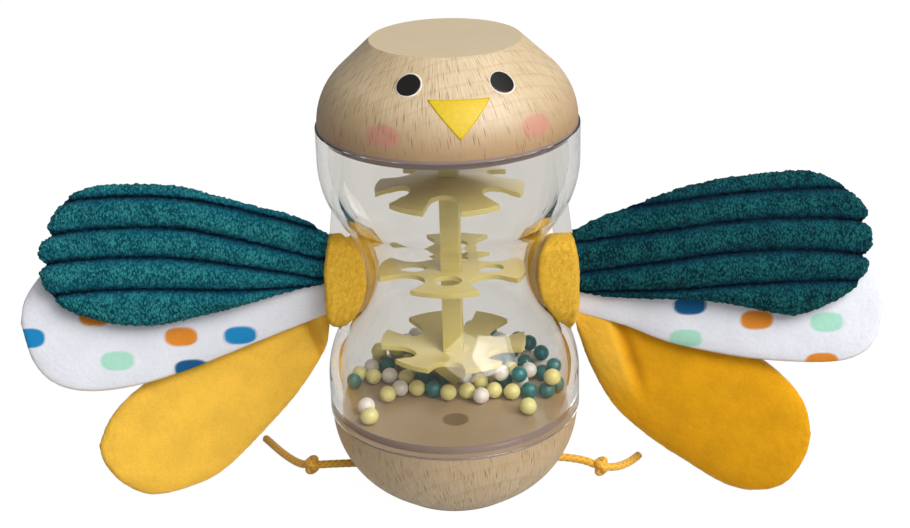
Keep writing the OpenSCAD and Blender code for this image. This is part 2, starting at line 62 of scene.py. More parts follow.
ahead = Vector((0, math.cos(tilt), -math.sin(tilt)))
above = Vector((0, math.sin(tilt), math.cos(tilt)))
right = Vector((1, 0, 0)) * math.cos(lean) + above * math.sin(lean)
up = above * math.cos(lean) - Vector((1, 0, 0)) * math.sin(lean)
camera = bpy.data.objects.new("camera", bpy.data.cameras.new("camera"))
bpy.context.scene.collection.objects.link(camera)
camera.matrix_world = Matrix((
    (right.x, up.x, -ahead.x, 0.0),
    (right.y, up.y, -ahead.y, -camera_away * MM),
    (right.z, up.z, -ahead.z, camera_high * MM),
    (0, 0, 0, 1)))
camera.data.sensor_width = sensor_mm
camera.data.lens = focal_px / PHOTO_W * sensor_mm
camera.data.shift_x = (photo_middle_px[0] - axis_px[0]) / PHOTO_W
camera.data.shift_y = (axis_px[1] - photo_middle_px[1]) / PHOTO_W
camera.data.clip_start = 0.01
bpy.context.scene.camera = camera


# ---- leg cord
# Round satin cord, braided over a core, that runs through the bore of the base. An overhand
# knot in each free end keeps it there, and the cut ends lie on the table.
def linear(code):
    """sRGB hex colour as the linear RGBA that a shader socket takes."""
    parts = [int(code[k:k + 2], 16) / 255 for k in (1, 3, 5)]
    return (*[c / 12.92 if c <= 0.04045 else ((c + 0.055) / 1.055) ** 2.4 for c in parts], 1.0)


def add(tree, kind, inputs=None, **settings):
    """Adds a node: inputs maps a socket to a value, or to the output socket it is linked to."""
    node = tree.nodes.new("ShaderNode" + kind)
    for key, value in settings.items():
        setattr(node, key, value)
    for key, value in (inputs or {}).items():
        if isinstance(value, bpy.types.NodeSocket):
            tree.links.new(value, node.inputs[key])
        else:
            node.inputs[key].default_value = value
    return node


def mix_colours(tree, share, first, second):
    """Output of a colour mix. Each colour is an sRGB hex code or a socket."""
    first, second = (linear(c) if isinstance(c, str) else c for c in (first, second))
    return add(tree, "Mix", {"Factor": share, "A": first, "B": second}, data_type="RGBA").outputs[2]


def ranged(tree, value, low, high, to_low=0.0, to_high=1.0, curve="LINEAR"):
    """Output of a value moved from the range low to high into the range to_low to to_high."""
    return add(tree, "MapRange", {"Value": value, "From Min": low, "From Max": high,
                                  "To Min": to_low, "To Max": to_high},
               interpolation_type=curve).outputs["Result"]


def material(name):
    """A new material with an empty tree; returns both."""
    made = bpy.data.materials.new(name)
    made.use_nodes = True
    made.node_tree.nodes.clear()
    return made, made.node_tree


def surface(tree, shader):
    """Links a shader to the material's output."""
    add(tree, "OutputMaterial", {"Surface": shader})


def dress(node_name, finish):
    """Gives a CAD node its material."""
    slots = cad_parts[node_name].data.materials
    slots.clear()
    slots.append(finish)


def piece(name, points, faces, finish, body, marks=None):
    """A smooth mesh piece, points in millimetres, that rides on a body, or on none yet. marks are
    point attributes: single numbers, or colours in rows of four."""
    mesh = bpy.data.meshes.new(name)
    mesh.from_pydata((np.asarray(points) * MM).tolist(), [], faces)
    mesh.shade_smooth()
    for key, values in (marks or {}).items():
        values = np.asarray(values, dtype=np.float32)
        kind, slot = ("FLOAT", "value") if values.ndim == 1 else ("FLOAT_COLOR", "color")
        mesh.attributes.new(key, kind, "POINT").data.foreach_set(slot, values.ravel())
    made = bpy.data.objects.new(name, mesh)
    bpy.context.scene.collection.objects.link(made)
    made.data.materials.append(finish)
    if body:
        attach(made, body)
    return made


def smooth_route(points, step):
    """Points about step apart on a smooth curve through the given ones."""
    p = np.asarray(points, dtype=float)
    p = np.vstack([2 * p[0] - p[1], p, 2 * p[-1] - p[-2]])
    made = []
    for a, b, c, d in zip(p[:-3], p[1:-2], p[2:-1], p[3:]):
        count = max(1, round(np.linalg.norm(c - b) / step))
        for t in np.arange(count) / count:
            made.append(0.5 * (2 * b + (c - a) * t + (2 * a - 5 * b + 4 * c - d) * t ** 2
                               + (3 * b - a - 3 * c + d) * t ** 3))
    return np.array(made + [p[-2]])


def tube(route, radius, closed=False):
    """A tube along route whose surface is ridged like a braid, with rounded ends where it is cut.
    Returns points, faces and the ridges' heights."""
    sides, strands, ridge, lay_mm = 16, 4, 0.08, 1.8
    count = len(route)
    if closed:
        heads = np.roll(route, -1, axis=0) - np.roll(route, 1, axis=0)
    else:
        heads = np.gradient(route, axis=0)
    heads /= np.linalg.norm(heads, axis=1)[:, None]
    side = np.cross(heads[0], (0, 0, 1.0))
    along = np.concatenate([[0], np.cumsum(np.linalg.norm(np.diff(route, axis=0), axis=1))])
    points, heights = [], []
    for i in range(count):
        side = side - heads[i] * (side @ heads[i])
        side /= np.linalg.norm(side)
        rise = np.cross(side, heads[i])
        end = 1.0 if closed else min(1.0, 0.55 + 0.45 * min(i, count - 1 - i))
        lay = 2 * math.pi * along[i] / lay_mm
        for k in range(sides):
            turn = 2 * math.pi * k / sides
            height = max(math.sin(strands * turn + lay), math.sin(strands * turn - lay))
            r = (radius + ridge * (height - 1)) * end
            points.append(route[i] + r * (math.cos(turn) * side + math.sin(turn) * rise))
            heights.append(height)
    faces = []
    for i in range(count if closed else count - 1):
        for k in range(sides):
            a, b = i * sides, (i + 1) % count * sides
            faces.append((a + k, b + k, b + (k + 1) % sides, a + (k + 1) % sides))
    if not closed:
        faces.append(tuple(range(sides)))
        faces.append(tuple((count - 1) * sides + k for k in reversed(range(sides))))
    return points, faces, heights


# Polyester satin: smooth filament yarn, braided, with a soft shine along the strands.
satin, t = material("polyester_satin_cord")
strand = add(t, "Attribute", attribute_name="strand").outputs["Fac"]
yarn = add(t, "TexNoise", {"Scale": 1 / (0.4 * MM), "Detail": 2.0}).outputs["Fac"]
# Painted highlight and shade: the cord is lighter on its braid's ridges and darker in the hollows
# between the strands
shade = mix_colours(t, ranged(t, strand, -1.0, 1.0), "#CF8C0A", "#F8BE36")
bump = add(t, "Bump", {"Height": yarn, "Strength": 0.25, "Distance": 0.15 * MM})
bsdf = add(t, "BsdfPrincipled", {"Base Color": shade, "Roughness": 0.42, "Sheen Weight": 0.3,
                                 "Normal": bump.outputs["Normal"]})
surface(t, bsdf.outputs["BSDF"])

hands = {"left": -1, "right": 1}
cord_d, knot_strand_r = 2.3, 1.05
leg_routes = {
    "left": [(-24, 0, 5), (-27, 0, 5), (-30, 0, 5), (-35, 0.6, 4.6), (-41, 2.2, 3.6),
             (-45, 5.5, 2.4), (-50, 12.5, 1.6), (-56.3, 22.6, 1.4)],
    "right": [(24, 0, 5), (27, 0, 5), (30, 0, 5), (35.4, -1.2, 4.6), (40.4, -2.8, 3.4),
              (44.8, -1.8, 2.6), (48.6, 1.8, 1.8), (52.2, 6.5, 1.4)]}
knot_at = 4
# The overhand knot: one strand that crosses itself three times, pulled tight round the cord
loop_r, loop_tall = 0.62, 0.95
turns = np.linspace(0, 2 * math.pi, 72, endpoint=False)
knot_line = np.stack([loop_tall * -np.sin(3 * turns),
                      loop_r * (np.sin(turns) + 2 * np.sin(2 * turns)),
                      loop_r * (np.cos(turns) - 2 * np.cos(2 * turns))], axis=1)
for side_name, hand in hands.items():
    leg_points = leg_routes[side_name]
    p, f, h = tube(knot_line + np.array(leg_points[knot_at]), knot_strand_r, closed=True)
    knot = piece(side_name + "_knot_tied", p, f, satin, "legs", {"strand": h})
    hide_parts(side_name + "_knot")

    route = smooth_route(leg_points, 0.35)
    p, f, h = tube(route, cord_d / 2)
    leg = piece(side_name + "_leg_free", p, f, satin, "legs", {"strand": h})
    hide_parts(side_name + "_leg")
dress("leg_cord", satin)


# ---- wooden ends
# Head and base, turned from beech on a lathe with the grain upright, fine-sanded and oiled. The
# moulded plates' pegs are glued into blind holes in their flat seam faces.
def math_node(tree, operation, *values):
    """Output of a Math node on the given values or sockets."""
    return add(tree, "Math", dict(enumerate(values)), operation=operation).outputs["Value"]


def mix_values(tree, share, first, second):
    """Output of a mix of two numbers."""
    return add(tree, "Mix", {"Factor": share, "A": first, "B": second}).outputs[0]


def length_of(tree, x, y):
    """Length of a flat vector."""
    flat_vector = add(tree, "CombineXYZ", {"X": x, "Y": y}).outputs["Vector"]
    return add(tree, "VectorMath", {0: flat_vector}, operation="LENGTH").outputs["Value"]


def facing_up(tree):
    """How far the surface faces up, from -1 to 1."""
    normal = add(tree, "NewGeometry").outputs["Normal"]
    return add(tree, "SeparateXYZ", {"Vector": normal}).outputs["Z"]


def noise_mm(tree, size, detail):
    """Noise fixed to the object, with blotches about size millimetres across."""
    return add(tree, "TexNoise", {"Vector": add(tree, "TexCoord").outputs["Object"],
                                  "Scale": 1 / (size * MM), "Detail": detail}).outputs["Fac"]


def in_cells(tree, across, along, cell):
    """Place on a surface, given in millimetres, counted in cells that are stretched along it."""
    x, y = (math_node(tree, "DIVIDE", mm, size) for mm, size in zip((across, along), cell))
    return add(tree, "CombineXYZ", {"X": x, "Y": y}).outputs["Vector"]


# Beech: pale pinkish tan with thin growth lines, faint fibre streaks and short dark vessels that
# run up from the seam. The head's cheeks are a thin pink stain under the oil.
turned_r, seam_r = 33.0, 33.7
vessel_cell, fibre_cell = (0.62, 6.4), (0.45, 7.0)
# Growth lines per metre along x, y and z: about 5 mm apart down the front, 2 mm apart over the
# flat, rising to the right
front_years, flat_years = (-80.0, 170.0, 220.0), (-95.0, 430.0, 0.0)
for name, seam_z, vessel_lean, seam_shade, cheeks in (
        ("head", 105.5, 0.13, 0.8, [(-28.6, 5.3, 5.0, 2.75), (40.9, 5.6, 4.8, 2.85)]),
        ("base", 24.0, -0.1, 0.4, [])):
    beech, t = material("oiled_beech_" + name)
    place = add(t, "TexCoord").outputs["Object"]
    flat = ranged(t, facing_up(t), 0.9, 0.97)
    turned = math_node(t, "SUBTRACT", 1.0, flat)
    axes = add(t, "SeparateXYZ", {"Vector": place}).outputs
    x, y, z = axes["X"], axes["Y"], axes["Z"]
    # Millimetres round the turned side and up it from the seam
    turn = math_node(t, "ARCTAN2", x, math_node(t, "MULTIPLY", y, -1.0))
    round_mm = math_node(t, "MULTIPLY", turn, turned_r)
    inset = math_node(t, "SUBTRACT", seam_r * MM, length_of(t, x, y))
    climb = math_node(t, "SUBTRACT", z, seam_z * MM)
    up_mm = math_node(t, "MULTIPLY", length_of(t, inset, climb), 1 / MM)
    leant = math_node(t, "MULTIPLY_ADD", up_mm, vessel_lean, round_mm)
    # Vessels cut lengthways: scattered dashes about 2.5 mm long and 0.25 mm wide
    vessel = add(t, "TexVoronoi", {"Vector": in_cells(t, leant, up_mm, vessel_cell), "Scale": 1.0},
                 voronoi_dimensions="2D").outputs
    mark = ranged(t, vessel["Distance"], 0.26, 0.12, curve="SMOOTHSTEP")
    fibre = add(t, "TexNoise", {"Vector": in_cells(t, leant, up_mm, fibre_cell), "Scale": 1.0,
                                "Detail": 3.0, "Roughness": 0.6},
                noise_dimensions="2D").outputs["Fac"]
    # Growth lines, darker in the late wood of each year
    front_year, flat_year = (
        add(t, "VectorMath", {0: place, 1: per_metre}, operation="DOT_PRODUCT").outputs["Value"]
        for per_metre in (front_years, flat_years))
    year = mix_values(t, flat, front_year, flat_year)
    ring = math_node(t, "FRACT", math_node(t, "MULTIPLY_ADD", noise_mm(t, 18, 1.0), 1.2, year))
    late = ranged(t, ring, 0.7, 0.98, to_high=0.3, curve="SMOOTHSTEP")
    colour = mix_colours(t, noise_mm(t, 12, 2.0), "#E0CDAA", "#D2B890")
    # Painted light: the flat top, which faces up, is painted paler than the turned side
    colour = mix_colours(t, math_node(t, "MULTIPLY", flat, 0.6), colour, "#DCC9A8")
    # Painted shade: the wood is darker and browner towards the seam, more on the head than on the
    # base
    low = ranged(t, up_mm, 14.0, 1.0, to_high=seam_shade)
    colour = mix_colours(t, low, colour, "#9E7648")
    colour = mix_colours(t, late, colour, "#B8966A")
    streaks = math_node(t, "MULTIPLY", ranged(t, fibre, 0.35, 0.75, to_high=0.55), turned)
    colour = mix_colours(t, streaks, colour, "#AC8A5C")
    for at_deg, at_up, half_w, half_h in cheeks:
        at_round = math.radians(at_deg) * turned_r
        du = math_node(t, "DIVIDE", math_node(t, "SUBTRACT", round_mm, at_round), half_w)
        dv = math_node(t, "DIVIDE", math_node(t, "SUBTRACT", up_mm, at_up), half_h)
        stain = ranged(t, length_of(t, du, dv), 1.18, 0.75, to_high=0.62, curve="SMOOTHSTEP")
        colour = mix_colours(t, stain, colour, "#CA7C70")
    strong = math_node(t, "MULTIPLY", ranged(t, fibre, 0.3, 0.6, 0.35, 0.85), turned)
    lot = add(t, "SeparateColor", {"Color": vessel["Color"]}).outputs["Red"]
    strong = math_node(t, "MULTIPLY", strong, ranged(t, lot, 0.3, 0.9, to_high=1.2))
    colour = mix_colours(t, math_node(t, "MULTIPLY", mark, strong), colour, "#845C34")
    bump = add(t, "Bump", {"Height": mark, "Strength": 0.2, "Distance": 0.1 * MM}, invert=True)
    bsdf = add(t, "BsdfPrincipled", {"Base Color": colour, "Roughness": 0.5,
                                     "Specular IOR Level": 1.0, "Normal": bump.outputs["Normal"]})
    surface(t, bsdf.outputs["BSDF"])
    dress(name, beech)


# ---- face
# Eyes and beak, pad-printed on the head. The face looks a little to the right of straight ahead.
head_r, head_tall, head_flat_r, head_seam, head_curve = 33.7, 21.5, 19.4, 105.5, 0.4
drawn_in = head_r - head_flat_r
side_lean = (1 + head_curve) * math.atan(drawn_in / head_tall)
head_arc = ((head_tall * math.tan(side_lean) - drawn_in)
            / (math.sin(side_lean) * math.tan(side_lean) - 1 + math.cos(side_lean)))
ink_sink = -0.08


def on_head(across, arc, lift):
    """Point on the head: across is in degrees from straight ahead, arc in mm up from the seam."""
    climb = min(arc / head_arc, side_lean)
    past = arc - climb * head_arc
    r = head_r - head_arc + (head_arc + lift) * math.cos(climb) - past * math.sin(climb)
    z = head_seam + (head_arc + lift) * math.sin(climb) + past * math.cos(climb)
    turn = math.radians(across)
    return (r * math.sin(turn), -r * math.cos(turn), z)


def printed(name, outline, finish, ink_lift):
    """A thin layer of ink inside an outline of (degrees, arc) points, closed down into the wood."""
    edge = np.asarray(outline, dtype=float)
    middle = edge.mean(axis=0)
    rings = np.linspace(0.12, 1.0, 9)
    n = len(edge)
    points = [on_head(*middle, ink_lift)]
    for share in rings:
        points += [on_head(*(middle + share * (e - middle)), ink_lift) for e in edge]
    points += [on_head(*e, ink_sink) for e in edge]
    faces = [(0, 1 + k, 1 + (k + 1) % n) for k in range(n)]
    for i in range(len(rings)):
        a, b = 1 + i * n, 1 + (i + 1) * n
        faces += [(a + k, b + k, b + (k + 1) % n, a + (k + 1) % n) for k in range(n)]
    faces.append(tuple(1 + len(rings) * n + k for k in reversed(range(n))))
    made = piece(name, points, faces, finish, "body")


def disc(across, arc, diameter):
    """Outline of a disc on the head, its diameter in mm."""
    degree = math.degrees(1 / -on_head(0, arc, 0)[1])
    turns = np.linspace(0, 2 * math.pi, 48, endpoint=False)
    return [(across + degree * diameter / 2 * c, arc + diameter / 2 * s)
            for c, s in zip(np.cos(turns), np.sin(turns))]


# Screen ink: a flat film with a dull shine, a little uneven where the grain takes it up.
def ink(name, dark, light, rough):
    made, t = material(name)
    grain = noise_mm(t, 0.8, 3.0)
    shade = mix_colours(t, ranged(t, grain, 0.35, 0.7), dark, light)
    bump = add(t, "Bump", {"Height": grain, "Strength": 0.1, "Distance": 0.1 * MM})
    bsdf = add(t, "BsdfPrincipled", {"Base Color": shade, "Roughness": rough,
                                     "Normal": bump.outputs["Normal"]})
    surface(t, bsdf.outputs["BSDF"])
    return made


black_ink = ink("black_screen_ink", "#080604", "#110D09", rough=0.3)
white_ink = ink("white_screen_ink", "#E4D6C2", "#F0E6D6", rough=0.5)
yellow_ink = ink("yellow_screen_ink", "#D6B200", "#DCBE0C", rough=0.5)
eyes = {"left": (-21.2, 18.9), "right": (31.6, 18.3)}
eye_d, rim_d = 6.1, 6.9
rim_lift, beak_lift, eye_lift = 0.04, 0.06, 0.08
for side_name, eye in eyes.items():
    printed(side_name + "_eye_rim", disc(*eye, rim_d), white_ink, rim_lift)
    printed(side_name + "_eye", disc(*eye, eye_d), black_ink, eye_lift)
beak_corners = [(-9.9, 15.15), (21.9, 14.8), (5.2, 4.9)]
beak_outline = []
for a, b in zip(beak_corners, beak_corners[1:] + beak_corners[:1]):
    for share in np.linspace(0.03, 0.97, 15):
        beak_outline.append((a[0] + (b[0] - a[0]) * share, a[1] + (b[1] - a[1]) * share))
printed("beak", beak_outline[::-1], yellow_ink, beak_lift)


# ---- clear shell
# One injection moulding of clear plastic, polished in the mould, with a bar bridging the waist on
# each side. Its mouths are glued over the two end plates.
clear, t = material("clear_styrene_moulding")
rays = add(t, "LightPath").outputs
passing = math_node(t, "MAXIMUM", rays["Is Shadow Ray"], rays["Is Diffuse Ray"])
bsdf = add(t, "BsdfPrincipled", {"Base Color": linear("#F8F6F2"), "Roughness": 0.02, "IOR": 1.17,
                                 "Transmission Weight": 1.0, "Coat Weight": 0.5,
                                 "Coat Roughness": 0.04})
through = add(t, "BsdfTransparent", {"Color": linear("#FAF9F6")})
both = add(t, "MixShader", {"Fac": passing, 1: bsdf.outputs["BSDF"], 2: through.outputs["BSDF"]})
surface(t, both.outputs["Shader"])
dress("clear_shell", clear)


# ---- end plates
# Smoke-tinted mouldings that close the shell and stand on three pegs in the wood. The front peg
# shows through the floor as a dim round spot.
smoke, t = material("smoke_tinted_abs")
peg_place, peg_r, peg_core_r = (0.0, -16.5, 26.9), 3.9, 3.0
glue_film = 0.02
toned = mix_colours(t, noise_mm(t, 14, 2.0), "#A28C70", "#B29C80")
# Painted shade: the plate's rim, which faces sideways, is painted darker than its faces
rim = ranged(t, math_node(t, "ABSOLUTE", facing_up(t)), 0.7, 0.3)
toned = mix_colours(t, rim, toned, "#937F7C")
from_peg = add(t, "VectorMath", {0: add(t, "TexCoord").outputs["Object"],
                                 1: [k * MM for k in peg_place]}, operation="DISTANCE")
peg = ranged(t, from_peg.outputs["Value"], peg_r * MM, peg_core_r * MM, to_high=0.8,
             curve="SMOOTHSTEP")
toned = mix_colours(t, peg, toned, "#6A543C")
bsdf = add(t, "BsdfPrincipled", {"Base Color": toned, "Roughness": 0.3})
surface(t, bsdf.outputs["BSDF"])
for name in ("top_plate", "bottom_plate"):
    dress(name, smoke)
    # A film of glue joins the plate to the shell and the wood, with no air between them
    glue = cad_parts[name].modifiers.new("glue_line", "DISPLACE")
    glue.mid_level = 0.0
    glue.strength = glue_film * MM


# ---- baffles
# Pale yellow mouldings: three armed plates on a square post that hangs from the top plate. Beads
# drop through their notches and holes when the rattle is turned over.
cream, t = material("pale_yellow_polypropylene")
toned = mix_colours(t, noise_mm(t, 9, 2.0), "#D2C276", "#DED28E")
bsdf = add(t, "BsdfPrincipled", {"Base Color": toned, "Roughness": 0.34, "Subsurface Weight": 0.5,
                                 "Subsurface Radius": (1.0, 0.85, 0.3),
                                 "Subsurface Scale": 1.5 * MM})
surface(t, bsdf.outputs["BSDF"])
for name in ("baffle_post", "upper_baffle", "middle_baffle", "lower_baffle"):
    dress(name, cream)


# ---- beads
# Loose round beads of teal, white and pale yellow plastic, tumbled to a dull gloss.
for name, dark, light in (("teal_beads", "#15666A", "#1F777A"),
                          ("white_beads", "#EAE4E1", "#F4EFEC"),
                          ("yellow_beads", "#E2DA8C", "#ECE6A2")):
    tumbled, t = material("tumbled_" + name)
    toned = mix_colours(t, noise_mm(t, 3, 2.0), dark, light)
    bsdf = add(t, "BsdfPrincipled", {"Base Color": toned, "Roughness": 0.4})
    surface(t, bsdf.outputs["BSDF"])
    dress(name, tumbled)


# ---- plush loops
# A padded sleeve of yellow plush, sewn round the bar on each side. The feathers' roots are caught
# in its outer seam.
def pile(points, faces, height, spacing, seed, stretch=(1, 1, 1)):
    """Raises the short pile of a fabric on the quads of a mesh: tufts about spacing apart and
    height tall. Returns the points and each one's height from 0 to 1."""
    quads = np.array([f for f in faces if len(f) == 4], dtype=int)
    a, b, c, d = (points[quads[:, k]] for k in range(4))
    quad_normals = np.cross(c - a, d - b)
    normals = np.zeros_like(points)
    for k in range(4):
        np.add.at(normals, quads[:, k], quad_normals)
    normals /= np.maximum(np.linalg.norm(normals, axis=1)[:, None], 1e-9)
    at = points / spacing * np.array(stretch) + seed
    tuft = np.array([noise.noise(Vector(p)) + 0.5 * noise.noise(Vector(p * 2.3)) for p in at])
    tuft = np.clip(0.5 + 0.6 * tuft, 0, 1)
    return points + normals * (height * (tuft - 0.5))[:, None], tuft


def ease(x):
    """Goes smoothly from 0 to 1 while x does."""
    x = np.clip(x, 0, 1)
    return x * x * (3 - 2 * x)


# Minky plush: dense polyester pile about 1.5 mm long, soft sheen, tufts lean every way.
yellow_plush, t = material("yellow_minky_plush")
tuft = add(t, "Attribute", attribute_name="tuft").outputs["Fac"]
hair = noise_mm(t, 0.4, 3.0)
# Painted highlight and shade: lighter on the raised tufts and darker in the hollows of the pile;
# the hair noise adds random fibre tone
share = ranged(t, math_node(t, "MULTIPLY_ADD", tuft, 0.6, hair), 0.35, 1.1)
shade = mix_colours(t, share, "#C48E18", "#EABC44")
bump = add(t, "Bump", {"Height": hair, "Strength": 0.5, "Distance": 0.3 * MM})
bsdf = add(t, "BsdfPrincipled", {"Base Color": shade, "Roughness": 0.9, "Specular IOR Level": 0.15,
                                 "Sheen Weight": 0.5, "Sheen Roughness": 0.4,
                                 "Sheen Tint": linear("#FFE08A"),
                                 "Normal": bump.outputs["Normal"]})
surface(t, bsdf.outputs["BSDF"])

waist_z, bar_x, bar_bow = 64.75, 30.0, 100.2
waist_r, waist_round, bulge_r, bulge_round, bulge_z, join_z = 23.3, 22.0, 34.2, 27.53, 31.0, 13.77
loop_bore, loop_out, loop_half_w, loop_gap = 2.75, 3.7, 9.0, 0.3
# Heights of each sleeve from the waist: up and down at its seam and at its front, up at its back,
# and up and down where it is tightest
loop_heights = {"left": (9.6, 16.8, 11.0, 15.2, 5.8), "right": (8.2, 19.8, 9.4, 16.4, 4.4)}
tight_up, tight_down = 9.2, 10.0
# How square its section is, how blunt its ends are, and how far its seam leans in at the top
square, blunt_up, blunt_down, seam_lean = 9, 10, 5, 1.2
# Its reach where nothing is in the way, and how far inside the bar's middle it begins to turn
no_limit, pressed = 50.0, 2


def shell_radius(z):
    """Outer radius of the shell at a height from its waist."""
    if abs(z) < join_z:
        return waist_r + waist_round - math.sqrt(waist_round ** 2 - z * z)
    return bulge_r - bulge_round + math.sqrt(bulge_round ** 2 - (bulge_z - abs(z)) ** 2)


for side_name, hand in hands.items():
    levels, sides = 56, 96
    seam_up, seam_down, front_up, front_down, back_up = loop_heights[side_name]
    outer, inner = [], []
    for i in range(levels + 1):
        level = math.sin(math.pi / 2 * (2 * i / levels - 1))
        for k in range(sides):
            turn = 2 * math.pi * k / sides
            c, s = math.cos(turn), math.sin(turn)
            loose = ease((1 + c) / 0.9)
            if level > 0:
                full_up = seam_up + abs(s) * ((front_up if s < 0 else back_up) - seam_up)
                z = level * (min(tight_up, full_up) + max(0, full_up - tight_up) * loose)
            else:
                full_down = front_down + (seam_down - front_down) * max(0, c)
                z = level * (tight_down + (full_down - tight_down) * loose)
            # The sleeve fills the room between the bar and the shell, and is flat where it is sewn
            room = shell_radius(z) + loop_gap
            spread = (bar_x * c) ** 2 - bar_x ** 2 + room ** 2
            inwards = -bar_x * c - math.sqrt(spread) if c < 0 and spread > 0 else no_limit
            outwards = (loop_out - seam_lean * ease(z / 10)) / c if c > 0.01 else no_limit
            front = loop_half_w / max(abs(s), 0.01)
            full = (max(inwards, 0.5) ** -square + outwards ** -square
                    + front ** -square) ** (-1 / square)
            blunt = blunt_up if level > 0 else blunt_down
            filled = math.sqrt(max(0, 1 - abs(level) ** blunt))
            r = loop_bore + (full - loop_bore) * filled
            # Its ends follow the bow of the bar, and rest on the shell where the bar runs into it
            middle = bar_x - (1 - filled) * z * z / (2 * bar_bow)
            for ring, reach in ((outer, r), (inner, loop_bore)):
                if ring is outer or i in (0, levels):
                    x, y = middle + reach * c, reach * s
                    pushed = max(1, room / math.hypot(x, y))
                    ring.append((hand * x * pushed, y * pushed, waist_z + z))
    start, top = len(outer), levels * sides
    faces = []
    for k in range(sides):
        n = (k + 1) % sides
        for i in range(levels):
            a, b = i * sides, (i + 1) * sides
            faces.append((a + k, a + n, b + n, b + k))
        faces.append((start + n, start + k, start + sides + k, start + sides + n))
        faces.append((n, k, start + k, start + n))
        faces.append((top + k, top + n, start + sides + n, start + sides + k))
    if hand < 0:
        faces = [f[::-1] for f in faces]
    points, tufts = pile(np.array(outer + inner), faces, height=0.35, spacing=1.0,
                         seed=3.0 * hand, stretch=(1.3, 1.0, 0.7))
    loop = piece(side_name + "_plush_loop", points, faces, yellow_plush, None, {"tuft": tufts})
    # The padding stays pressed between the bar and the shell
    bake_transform(loop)
    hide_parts(side_name + "_tab")


# ---- feathers
# Each wing has three feathers of two sewn layers with a little filling: ribbed teal terry in
# front, white velour with printed dots behind it, yellow velour at the back. Their roots are sewn
# into the loop's seam, so that the front and back ones can be lifted from the middle one.
root_x, wing_z = 36.2, 62.0
wing_twist, twist_length, swell_length = 30.0, 80.0, 26.0
# How far the front and back feathers lie from the middle one: at the root, and more beyond it
layer_gap, layer_swell = 2.2, 3.4


def wing_points(hand, u, v, w):
    """Wing surface to millimetres: u outwards from the root, v up, w back."""
    turn = np.radians(wing_twist * u / twist_length)
    return np.stack([hand * (root_x + u), w * np.cos(turn) + v * np.sin(turn),
                     wing_z + v * np.cos(turn) - w * np.sin(turn)], axis=-1)


def feather_grid(upper, lower, along, across):
    """Places of a feather's grid between its upper and lower edges, which run from the root to the
    tip: share of the way along, share across from -1 to 1, and u and v in the wing."""
    t = np.sin(np.linspace(0, math.pi / 2, along))
    rails = []
    for edge in (lower, upper):
        route = smooth_route(edge, 0.5)
        reach = np.concatenate([[0], np.cumsum(np.linalg.norm(np.diff(route, axis=0), axis=1))])
        rails.append(np.stack([np.interp(t * reach[-1], reach, route[:, k]) for k in (0, 1)],
                              axis=-1))
    t, c = np.meshgrid(t, np.sin(np.linspace(-math.pi / 2, math.pi / 2, across)), indexing="ij")
    share = (1 + c[..., None]) / 2
    place = rails[0][:, None] * (1 - share) + rails[1][:, None] * share
    return t, c, place[..., 0], place[..., 1]


def fullness(t, c, tip_power, side_power):
    """How full a feather is stuffed, from 0 at its sewn edge to 1."""
    return (1 - np.abs(c) ** side_power) ** 0.5 * np.sqrt(np.clip(1 - t ** tip_power, 0, 1))


def sewn_layers(hand, u, v, front, back, marks):
    """Mesh of a feather: a front grid and a back grid that share their outer edge. marks hold a row
    for each point of both grids. Returns points, faces and marks."""
    along, across = u.shape
    front_at = np.arange(along * across).reshape(along, across)
    back_at = front_at + along * across
    for edge in (np.s_[:, 0], np.s_[:, -1], np.s_[-1, :]):
        back_at[edge] = front_at[edge]
    faces = []
    for grid, flip in ((front_at, hand < 0), (back_at, hand > 0)):
        for i in range(along - 1):
            for j in range(across - 1):
                f = (grid[i, j], grid[i + 1, j], grid[i + 1, j + 1], grid[i, j + 1])
                faces.append(f[::-1] if flip else f)
    root = [*front_at[0], *back_at[0, 1:-1][::-1]]
    faces.append(root[::-1] if hand < 0 else root)
    used = sorted({k for f in faces for k in f})
    new = {k: n for n, k in enumerate(used)}
    points = np.concatenate([wing_points(hand, u, v, w).reshape(-1, 3) for w in (front, back)])
    return (points[used], [tuple(new[k] for k in f) for f in faces],
            {key: values[used] for key, values in marks.items()})


def moved_towards(tone, share, code):
    """Colours moved towards an sRGB hex code by a share at each point."""
    return tone + (np.array(linear(code)) - tone) * share.ravel()[:, None]


# Velour: a knitted back with a cut pile under 1 mm, smooth to the eye, with a soft sheen.
def velour(name, sheen, deep):
    made, t = material(name)
    print_at = add(t, "Attribute", attribute_name="print").outputs["Color"]
    hair, drift = noise_mm(t, 0.6, 4.0), noise_mm(t, 8, 3.0)
    share = ranged(t, math_node(t, "MULTIPLY_ADD", drift, 1.6, hair), 1.0, 1.6, deep, 1.0)
    grey = add(t, "CombineColor", {"Red": share, "Green": share, "Blue": share}).outputs["Color"]
    shade = add(t, "Mix", {"Factor": 1.0, "A": print_at, "B": grey}, data_type="RGBA",
                blend_type="MULTIPLY")
    bump = add(t, "Bump", {"Height": hair, "Strength": 0.3, "Distance": 0.25 * MM})
    bsdf = add(t, "BsdfPrincipled", {"Base Color": shade.outputs[2], "Roughness": 0.85,
                                     "Specular IOR Level": 0.2, "Sheen Weight": sheen,
                                     "Sheen Roughness": 0.35, "Normal": bump.outputs["Normal"]})
    surface(t, bsdf.outputs["BSDF"])
    return made


